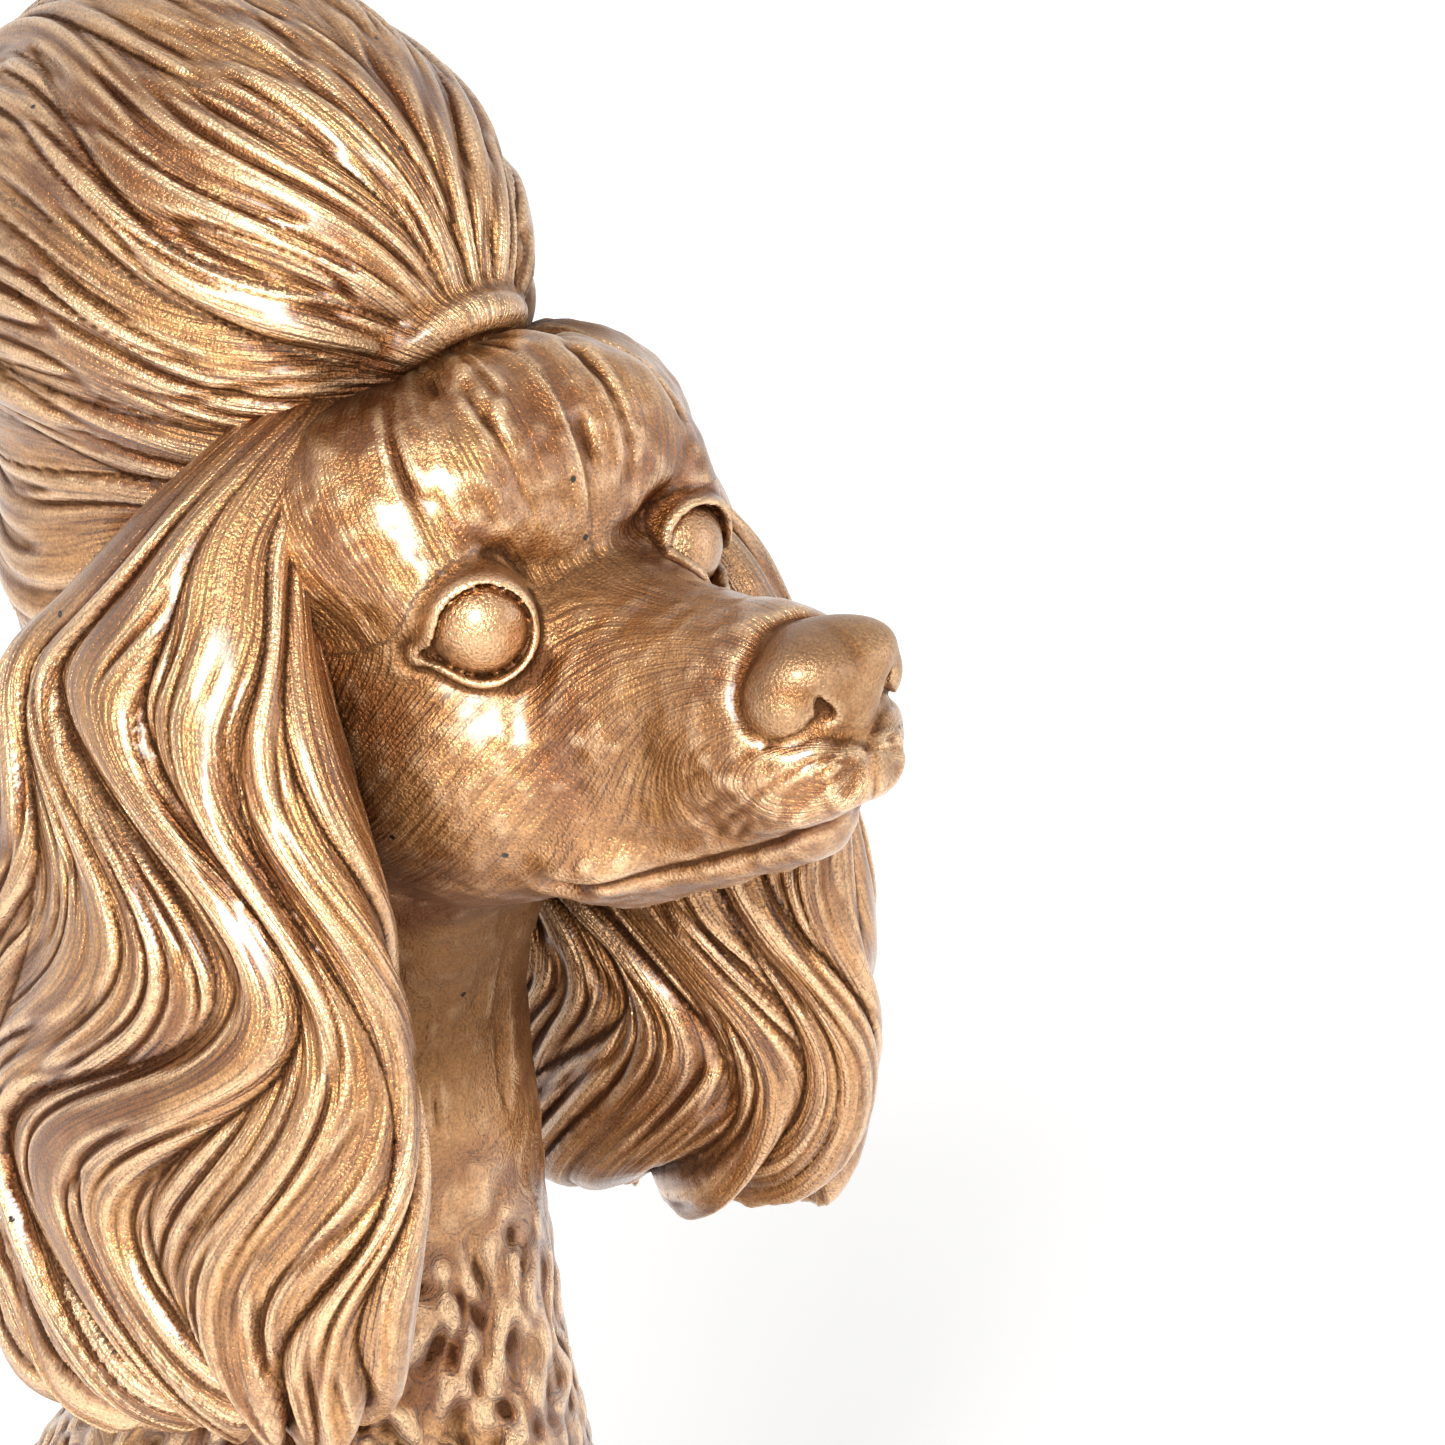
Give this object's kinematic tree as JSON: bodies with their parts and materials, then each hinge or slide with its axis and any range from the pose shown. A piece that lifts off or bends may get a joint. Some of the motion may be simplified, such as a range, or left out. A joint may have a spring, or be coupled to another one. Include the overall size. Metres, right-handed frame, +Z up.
{
  "type": "seated poodle figurine",
  "caption": "Decorative seated poodle with a tied topknot, long wavy ears and a curly coat, cast in keyed members, painted metallic gold and standing on a recessed felt pad.",
  "frame": {"origin": "point on the table plane on the underside of the felt pad, in the plane of symmetry", "axes": "-Y is the way the dog looks, +X its left side, +Z up"},
  "size_m": [0.0956, 0.1575, 0.2407],
  "materials": {
    "gold_paint": "metallic gold paint with a brown wash in the grooves",
    "bare_cast": "bare cast body, matt",
    "felt": "brown felt"
  },
  "bodies": {
    "root": {"torso_shell": "gold_paint", "base_plug": "bare_cast", "seat_felt": "felt", "head_shell": "gold_paint", "topknot": "gold_paint", "left_ear": "gold_paint", "right_ear": "gold_paint", "left_foreleg": "gold_paint", "right_foreleg": "gold_paint", "left_hind_leg": "gold_paint", "right_hind_leg": "gold_paint", "tail": "gold_paint"}
  },
  "joints": []
}
